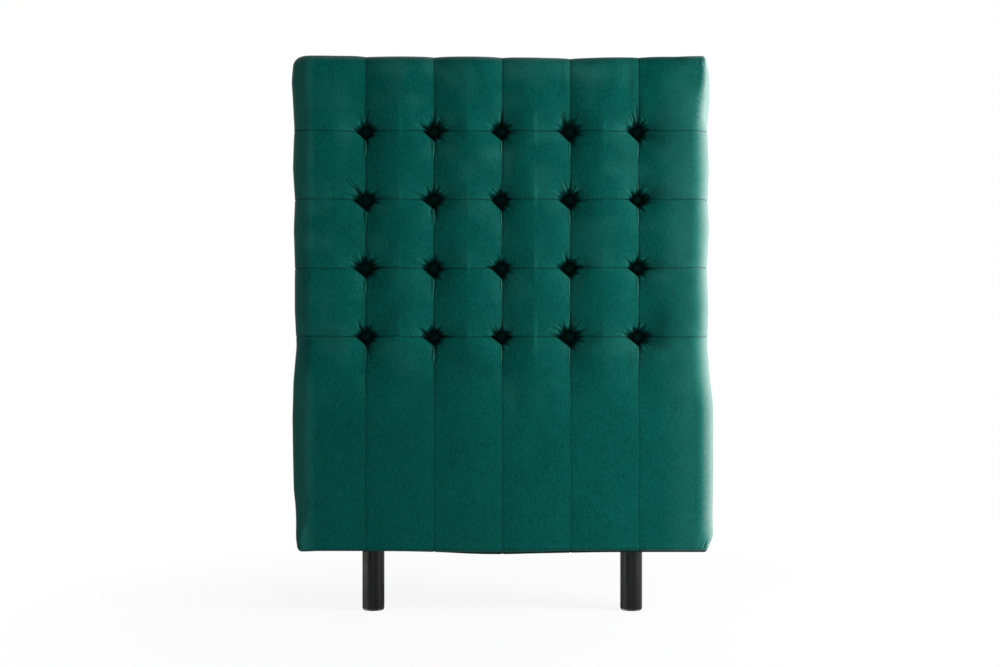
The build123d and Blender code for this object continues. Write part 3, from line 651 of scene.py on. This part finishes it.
def cut_pile_velvet():
    """Emerald velvet, woven double and cut apart, so its pile stands up: near black into the pile,
    with a painted sheen where it turns away from the eye, most on the right, and painted light and shade."""
    material, tree, shader = new_material("cut_pile_velvet")
    place = node(tree, "ShaderNodeTexCoord").outputs["Object"]
    # Pile brushed down the panel in soft streaks, 3.33 mm wide and 8.3 mm long
    brushed = node(tree, "ShaderNodeMapping", {"Vector": place, "Scale": (1, 1, 0.4)})
    streaks = node(
        tree,
        "ShaderNodeTexNoise",
        {"Vector": brushed.outputs[0], "Scale": 1 / (3.333 * mm), "Detail": 3, "Roughness": 0.65},
    )
    # Faint hand marks in the pile, 71 mm across
    marks = node(
        tree,
        "ShaderNodeTexNoise",
        {"Vector": place, "Scale": 1 / (71.43 * mm), "Detail": 1, "Roughness": 0.5},
    )
    marks = node(tree, "ShaderNodeMapRange", {"Value": marks.outputs[0], "To Min": 0.42, "To Max": 0.58})
    # Pile tips stand 0.3 mm apart, the finest of this pattern, and are too fine to show, so they are
    # drawn in tufts up to 4.76 mm across
    tips = node(
        tree,
        "ShaderNodeTexNoise",
        {"Vector": place, "Scale": 1 / (4.762 * mm), "Detail": 4, "Roughness": 0.75},
    )
    mixed = node(tree, "ShaderNodeMath", {0: streaks.outputs[0], 1: tips.outputs[0]}, operation="ADD")
    shade = node(tree, "ShaderNodeMath", {0: mixed.outputs[0], 1: marks.outputs[0]}, operation="ADD")
    tone = node(tree, "ShaderNodeMapRange", {"Value": shade.outputs[0], "From Min": 1.2, "From Max": 1.8})
    colour = node(
        tree,
        "ShaderNodeMix",
        {"Factor": tone.outputs[0], "A": linear("#01403a"), "B": linear("#035a51")},
        data_type="RGBA",
    )
    # Painted light, and random patches in the pile's tone, make it lighter
    painted_light_node = node(tree, "ShaderNodeAttribute", attribute_name="painted_light_and_pile_patches")
    share = node(tree, "ShaderNodeMath", {0: painted_light_node.outputs["Fac"], 1: 0.3}, operation="MULTIPLY")
    colour = node(
        tree,
        "ShaderNodeMix",
        {"Factor": share.outputs[0], "A": colour.outputs["Result"], "B": linear("#3d877d")},
        data_type="RGBA",
    )
    # Painted sheen: pale where the pile is seen at a low angle, within the painted band that is widest on the
    # right
    facing = node(tree, "ShaderNodeLayerWeight", {"Blend": 0.5}).outputs["Facing"]
    # The pile tips break up its border
    ragged = node(tree, "ShaderNodeMath", {0: tips.outputs[0], 1: 0.25, 2: facing}, operation="MULTIPLY_ADD")
    facing = node(
        tree,
        "ShaderNodeMapRange",
        {"Value": ragged.outputs[0], "From Min": 0.18, "From Max": 0.73, "To Max": 0.85},
    )
    # The painted sheen shows only within its painted band
    painted_sheen_node = node(tree, "ShaderNodeAttribute", attribute_name="painted_sheen_band")
    rim = node(tree, "ShaderNodeMath", {0: facing.outputs[0], 1: painted_sheen_node.outputs["Fac"]}, operation="MULTIPLY")
    colour = node(
        tree,
        "ShaderNodeMix",
        {"Factor": rim.outputs[0], "A": colour.outputs["Result"], "B": linear("#78908a")},
        data_type="RGBA",
    )
    # Painted shade: nearly black in the tufts, darker along the seams, pleats and underside, and in painted
    # patches of shade
    painted_shade_node = node(tree, "ShaderNodeAttribute", attribute_name="painted_pile_shade")
    colour = node(
        tree,
        "ShaderNodeMix",
        {"Factor": painted_shade_node.outputs["Fac"], "A": colour.outputs["Result"], "B": linear("#02221f")},
        data_type="RGBA",
    )
    tree.links.new(colour.outputs["Result"], shader.inputs["Base Color"])
    nap = node(tree, "ShaderNodeBump", {"Height": mixed.outputs[0], "Strength": 0.35, "Distance": 0.6 * mm})
    tree.links.new(nap.outputs[0], shader.inputs["Normal"])
    shader.inputs["Roughness"].default_value = 0.5
    shader.inputs["Specular IOR Level"].default_value = 0.045
    shader.inputs["Sheen Weight"].default_value = 0.12
    shader.inputs["Sheen Roughness"].default_value = 0.3
    shader.inputs["Sheen Tint"].default_value = linear("#b8e0d6")
    return material


def satin_powder_coat():
    """Black powder baked on steel tube, which leaves a satin skin with a faint orange peel."""
    material, tree, shader = new_material("satin_powder_coat")
    place = node(tree, "ShaderNodeTexCoord").outputs["Object"]
    # The peel's dimples are about 1.1 mm across
    peel = node(tree, "ShaderNodeTexNoise", {"Vector": place, "Scale": 1 / (1.111 * mm), "Detail": 2})
    # Handling leaves duller patches, 25 mm across
    scuffs = node(tree, "ShaderNodeTexNoise", {"Vector": place, "Scale": 1 / (25 * mm), "Detail": 4})
    gloss = node(tree, "ShaderNodeMapRange", {"Value": scuffs.outputs[0], "To Min": 0.2, "To Max": 0.28})
    colour = node(
        tree,
        "ShaderNodeMix",
        {"Factor": scuffs.outputs[0], "A": linear("#080808"), "B": linear("#0f0f0f")},
        data_type="RGBA",
    )
    bump = node(tree, "ShaderNodeBump", {"Height": peel.outputs[0], "Strength": 0.12, "Distance": 0.1 * mm})
    tree.links.new(colour.outputs["Result"], shader.inputs["Base Color"])
    tree.links.new(gloss.outputs[0], shader.inputs["Roughness"])
    shader.inputs["Specular IOR Level"].default_value = 0.2
    tree.links.new(bump.outputs[0], shader.inputs["Normal"])
    return material


def speckled(name, dark, light, grain, roughness, metallic=0.0, depth=0.1 * mm, stretch=(1, 1, 1)):
    """A plain finish whose tone and height vary with one pattern, grain wide."""
    material, tree, shader = new_material(name)
    place = node(tree, "ShaderNodeTexCoord").outputs["Object"]
    drawn = node(tree, "ShaderNodeMapping", {"Vector": place, "Scale": stretch})
    pattern = node(tree, "ShaderNodeTexNoise", {"Vector": drawn.outputs[0], "Scale": 1 / grain, "Detail": 5})
    colour = node(
        tree,
        "ShaderNodeMix",
        {"Factor": pattern.outputs[0], "A": linear(dark), "B": linear(light)},
        data_type="RGBA",
    )
    bump = node(tree, "ShaderNodeBump", {"Height": pattern.outputs[0], "Strength": 0.4, "Distance": depth})
    tree.links.new(colour.outputs["Result"], shader.inputs["Base Color"])
    tree.links.new(bump.outputs[0], shader.inputs["Normal"])
    shader.inputs["Roughness"].default_value = roughness
    shader.inputs["Metallic"].default_value = metallic
    return material


def spunbonded_polypropylene():
    """Black cloth of thin fibres, laid at random and pressed together at dots: dull and dimpled."""
    material, tree, shader = new_material("spunbonded_polypropylene")
    place = node(tree, "ShaderNodeTexCoord").outputs["Object"]
    # Bonding dots 2.5 mm apart, drawn coarser than the real 1 mm so that they show
    flat = node(tree, "ShaderNodeMapping", {"Vector": place, "Scale": (1, 0, 1)})
    dots = node(
        tree,
        "ShaderNodeTexVoronoi",
        {"Vector": flat.outputs[0], "Scale": 1 / (2.5 * mm), "Randomness": 0.1},
    )
    dots = node(
        tree,
        "ShaderNodeMapRange",
        {"Value": dots.outputs["Distance"], "From Min": 0.15, "From Max": 0.45},
    )
    # Loose fibres between the dots, in tangles 1.4 mm across
    fibres = node(
        tree,
        "ShaderNodeTexNoise",
        {"Vector": place, "Scale": 1 / (1.43 * mm), "Detail": 4, "Roughness": 0.7},
    )
    height = node(tree, "ShaderNodeMath", {0: dots.outputs[0], 1: fibres.outputs[0]}, operation="MULTIPLY")
    colour = node(
        tree,
        "ShaderNodeMix",
        {"Factor": height.outputs[0], "A": linear("#101011"), "B": linear("#232326")},
        data_type="RGBA",
    )
    bump = node(tree, "ShaderNodeBump", {"Height": height.outputs[0], "Strength": 0.5, "Distance": 0.15 * mm})
    tree.links.new(colour.outputs["Result"], shader.inputs["Base Color"])
    tree.links.new(bump.outputs[0], shader.inputs["Normal"])
    shader.inputs["Roughness"].default_value = 0.8
    return material


velvet_finish = cut_pile_velvet()
# The same velvet over the buttons' shells, painted darker as the shade deep in the tufts, and with no sheen
button_velvet_painted_dark = speckled("button_velvet_in_painted_shade", "#021a18", "#042824", 1.43 * mm, 0.9)
button_velvet_painted_dark.node_tree.nodes["Principled BSDF"].inputs["Specular IOR Level"].default_value = 0.05
finishes = {
    "emerald_velvet": velvet_finish,
    # Cut from a foamed block, so its open cells make it matt and finely pitted
    "upholstery_foam": speckled("open_cell_foam", "#d8cfa4", "#efe8c8", 2 * mm, 0.95),
    # Carded fibres bonded with resin, a soft white tangle
    "polyester_wadding": speckled("bonded_polyester_wadding", "#dedede", "#f4f4f2", 3.85 * mm, 0.95),
    "nonwoven_dust_cloth": spunbonded_polypropylene(),
    # Twisted from yarns and drawn through wax, which dulls its gloss and darkens its hollows
    "waxed_twine": speckled("waxed_polyester_twine", "#b9ae92", "#ddd3ba", 0.667 * mm, 0.6),
    # Moulded with an even, half-gloss skin
    "white_plastic": speckled("moulded_white_nylon", "#d8d8d4", "#ececea", 3.33 * mm, 0.45),
    "black_powder_coat": satin_powder_coat(),
    # Moulded in a fine-textured mould, waxy and nearly matt
    "black_plastic": speckled("moulded_black_polyethylene", "#101010", "#181818", 1.43 * mm, 0.5),
    # Peeled veneers, glued and sanded: a grain drawn out along the sheet
    "birch_plywood": speckled(
        "sanded_birch_plywood", "#b8935f", "#d9b98a", 33.3 * mm, 0.6, stretch=(0.15, 1, 3)
    ),
    # Sawn along the grain and planed, with long streaks of early and late wood
    "planed_pine": speckled("planed_pine", "#b98a4e", "#e2bf87", 16.7 * mm, 0.55, stretch=(3, 3, 0.1)),
    # Plated in a bright bath, a smooth coat with a faintly clouded shine
    "zinc_plated_steel": speckled("bright_zinc_plate", "#a9acb0", "#cfd2d4", 2.5 * mm, 0.3, metallic=1.0),
}
for subpart in frame["record"]["subparts"]:
    carried = frame["nodes"][subpart["node"]]
    carried.data.materials.clear()
    # Buttons take the velvet painted darker as shade deep in the tufts
    painted_dark_button = subpart["node"].startswith("covered_button")
    carried.data.materials.append(button_velvet_painted_dark if painted_dark_button else finishes[subpart["material_slot"]])


# The upholstered panel
cage_points, panel_faces, *ends = cage()
panel_points = onto_form(np.array(cage_points)).tolist()
line_inside(panel_points, panel_faces, *ends)
panel = add_mesh("velvet_upholstery", panel_points, panel_faces)
panel_points = np.array(panel_points)
across, back, height = panel_points.T
in_front = back < front + tuft_floor + 2 * mm
# Painted shade on the underside, which hangs in shadow
painted_underside_shade = ease(back, front + 6 * mm, front + 10 * mm) * (height < cover_foot + 5 * mm)
# Painted shade, painted sheen and painted light, kept on the velvet's points for its finish
pile_states = {
    "painted_pile_shade": np.maximum(in_front * painted_shade_share(across, height), 0.9 * painted_underside_shade),
    "painted_sheen_band": painted_sheen_band(across, height),
    "painted_light_and_pile_patches": painted_light_and_pile_patches(across, height),
}
for name, values in pile_states.items():
    state = panel.data.attributes.new(name, "FLOAT", "POINT")
    state.data.foreach_set("value", values.astype(np.float32))
panel.data.materials.append(velvet_finish)
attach(panel, "root")
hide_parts("velvet_cover", "foam_pad", "left_edge_wadding", "right_edge_wadding", "top_edge_wadding")


# The dust cloth on the back
cloth_thickness = 0.3 * mm
cloth_columns, cloth_rows = 131, 157
hem_lap = 22 * mm
rail_slope = 80 * mm
cloth_scallop = 1.8 * mm
# The openings between the frame's rails, from the floor up
rail_gaps = [
    (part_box(below)[1][2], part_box(above)[0][2])
    for below, above in (
        ("bottom_rail", "lower_middle_rail"),
        ("lower_middle_rail", "upper_middle_rail"),
        ("upper_middle_rail", "top_rail"),
    )
]
stile_inside = -stile_high[0]


def staple_spots():
    """The middles of the staples' crowns on the back."""
    vertices = frame["nodes"]["back_staples"].data.vertices
    crowns = [vertex.co for vertex in vertices if vertex.co[1] > cover_back + 0.3 * mm]
    groups = []
    for x, y, z in crowns:
        for group in groups:
            if math.hypot(x - group[0][0], z - group[0][1]) < 20 * mm:
                group.append((x, z))
                break
        else:
            groups.append([(x, z)])
    return np.array([np.mean(group, axis=0) for group in groups])


def cloth_place(x, z, spots):
    """How far back the dust cloth lies: on the velvet's hem at its edges, and slack between the rails."""
    opened = (
        ease(x, opening_low[0], opening_low[0] + hem_lap)
        * ease(-x, -opening_high[0], -opening_high[0] + hem_lap)
        * ease(z, opening_low[1], opening_low[1] + hem_lap)
        * ease(-z, -opening_high[1], -opening_high[1] + hem_lap)
    )
    slack = 0
    for low, high in rail_gaps:
        slack = slack + ease(z, low, low + rail_slope) * ease(-z, -high, -high + rail_slope)
    slack = slack * ease(stile_inside - np.abs(x), 0, rail_slope)
    # The centre post holds it up between the two lowest rails
    slack = slack * (1 - bell(x, 50 * mm) * (z < rail_gaps[0][1]))
    place = cover_back + 0.6 * mm - 1.4 * mm * opened
    place = place - slack * (3.6 + 1.4 * unevenness(x, z, 130 * mm, 11)) * mm
    place = place + 0.4 * mm * slack * unevenness(x, z, 45 * mm, 12)
    # The staples pull the cloth in, and short folds run inwards from them
    for a, b in spots:
        sideways = abs(a) > opening_high[0]
        aside = z - b if sideways else x - a
        into = (abs(a) - np.sign(a) * x) if sideways else np.abs(z - b)
        place = place - 0.35 * mm * bell(np.hypot(x - a, z - b), 14 * mm)
        folded = bell(aside, 5 * mm) * ease(into, 0, 20 * mm) * np.exp(-np.abs(into) / (38 * mm))
        place = place - 0.3 * mm * folded
    return place


def dust_cloth():
    """A thin sheet with scalloped edges between its staples."""
    spots = staple_spots()
    u, v = np.meshgrid(np.linspace(-1, 1, cloth_columns), np.linspace(0, 1, cloth_rows))
    z = cloth_low[2] + v * (cloth_high[2] - cloth_low[2])
    x = u * cloth_high[0]
    sides = spots[np.abs(spots[:, 0]) > opening_high[0]]
    ends = spots[np.abs(spots[:, 0]) <= opening_high[0]]
    x = x - u ** 9 * cloth_scallop * (1 - bell(z - nearest(z, sides[:, 1]), 20 * mm))
    z = z - (2 * v - 1) ** 9 * cloth_scallop * (1 - bell(x - nearest(x, ends[:, 0]), 20 * mm))
    x, z = x.ravel(), z.ravel()
    y = cloth_place(x, z, spots)
    outer = np.column_stack([x, y + cloth_thickness / 2, z])
    inner = np.column_stack([x, y - cloth_thickness / 2, z])
    number = np.arange(cloth_rows * cloth_columns).reshape(cloth_rows, cloth_columns)
    corners = [number[:-1, :-1], number[1:, :-1], number[1:, 1:], number[:-1, 1:]]
    quads = np.stack(corners, -1).reshape(-1, 4)
    faces = quads.tolist() + (quads[:, ::-1] + len(x)).tolist()
    rim = rim_of(number)
    for a, b in zip(rim, np.roll(rim, -1)):
        faces.append([int(a), int(b), int(b) + len(x), int(a) + len(x)])
    return add_mesh("dust_cloth", np.concatenate([outer, inner]), faces)


cloth = dust_cloth()
cloth.data.materials.append(finishes["nonwoven_dust_cloth"])
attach(cloth, "root")
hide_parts("back_dust_cloth")


# Floor, background, light and camera

def white_floor():
    """Plain white that keeps the faint shadow under the panel."""
    material, tree, shader = new_material("white_floor")
    shader.inputs["Base Color"].default_value = linear("#f4f4f4")
    shader.inputs["Roughness"].default_value = 0.9
    # Away from the panel it goes over into the white background
    place = node(tree, "ShaderNodeTexCoord").outputs["Object"]
    distance = node(tree, "ShaderNodeVectorMath", {0: place}, operation="LENGTH").outputs["Value"]
    spread = node(
        tree,
        "ShaderNodeMapRange",
        {"Value": distance, "From Min": 0.35, "From Max": 1.1, "To Min": 0.9, "To Max": 1.0},
    )
    sight = node(tree, "ShaderNodeLightPath").outputs["Is Camera Ray"]
    share = node(tree, "ShaderNodeMath", {0: sight, 1: spread.outputs[0]}, operation="MULTIPLY")
    glow = node(tree, "ShaderNodeEmission", {"Color": (1, 1, 1, 1), "Strength": 1.0})
    mixed = node(tree, "ShaderNodeMixShader", {0: share.outputs[0], 1: shader.outputs[0], 2: glow.outputs[0]})
    tree.links.new(mixed.outputs[0], tree.nodes["Material Output"].inputs["Surface"])
    return material


floor_end = 12
floor_points = [(x * floor_end, y * floor_end, 0) for x, y in ((-1, -1), (1, -1), (1, 1), (-1, 1))]
floor = add_mesh("floor", floor_points, [[0, 1, 2, 3]])
floor.data.materials.append(white_floor())

studio_glow = 0.13
world = bpy.data.worlds.new("studio")
bpy.context.scene.world = world
world.use_nodes = True
tree = world.node_tree
tree.nodes.clear()
path = node(tree, "ShaderNodeLightPath")
# The studio is white behind the panel and dim on the camera's side
way = node(tree, "ShaderNodeTexCoord").outputs["Generated"]
behind = node(tree, "ShaderNodeSeparateXYZ", {0: way}).outputs["Y"]
mirrored = node(
    tree,
    "ShaderNodeMapRange",
    {"Value": behind, "From Min": -0.3, "From Max": 0.7, "To Min": 0.02, "To Max": 1},
)
passing = node(
    tree,
    "ShaderNodeMath",
    {0: path.outputs["Is Glossy Ray"], 1: path.outputs["Is Transmission Ray"]},
    operation="MAXIMUM",
)
soft = node(
    tree,
    "ShaderNodeMix",
    {"Factor": passing.outputs[0], "A": studio_glow, "B": mirrored.outputs[0]},
    data_type="FLOAT",
)
strength = node(
    tree,
    "ShaderNodeMath",
    {0: soft.outputs["Result"], 1: path.outputs["Is Camera Ray"]},
    operation="MAXIMUM",
)
sky = node(tree, "ShaderNodeBackground", {"Color": (1, 1, 1, 1), "Strength": strength.outputs[0]})
node(tree, "ShaderNodeOutputWorld", {"Surface": sky.outputs[0]})


def softbox(name, place, target, width, height, power):
    """A rectangular lamp that faces a target."""
    lamp = bpy.data.lights.new(name, "AREA")
    lamp.shape = "RECTANGLE"
    lamp.size = width
    lamp.size_y = height
    lamp.energy = power
    holder = bpy.data.objects.new(name, lamp)
    bpy.context.scene.collection.objects.link(holder)
    holder.location = place
    way = [b - a for a, b in zip(place, target)]
    turn = math.atan2(-way[0], way[1])
    tilt = math.atan2(way[2], math.hypot(way[0], way[1]))
    holder.rotation_euler = (math.pi / 2 + tilt, 0, turn)
    return holder


panel_middle = (0, 0, 0.66)
softbox("key_right", (2.6, -0.75, 1.2), panel_middle, 1.0, 2.2, 150)
fill = softbox("fill_left", (-1.6, -3.6, 1.8), panel_middle, 1.8, 2.0, 19)
fill.visible_glossy = False

# Two strips that shine on the legs alone, for the long highlights on their round fronts
legs = bpy.data.collections.new("legs_under_strips")
for side in ("left", "right"):
    legs.objects.link(frame["nodes"][f"{side}_leg_tube"])
    legs.objects.link(frame["nodes"][f"{side}_leg_glide"])
for name, place, width, height, power in (
    ("strip_left", (-2.4, -0.1, 0.4), 2.6, 0.7, 170),
    ("strip_front", (-0.39, -4, 0.13), 0.25, 0.2, 12),
):
    strip = softbox(name, place, (0, 0, 0.1), width, height, power)
    strip.light_linking.receiver_collection = legs

# The camera stands in front, half way up and a little to the left
camera_aside = -5 * mm
camera_distance = 3.0
camera_height = 601 * mm
camera = bpy.data.cameras.new("camera")
camera.sensor_width = 36
camera.lens = 50.3
view = bpy.data.objects.new("camera", camera)
bpy.context.scene.collection.objects.link(view)
view.location = (camera_aside, front - camera_distance, camera_height)
view.rotation_euler = (math.pi / 2, 0, 0)
bpy.context.scene.camera = view
bpy.context.scene.view_settings.view_transform = "Standard"
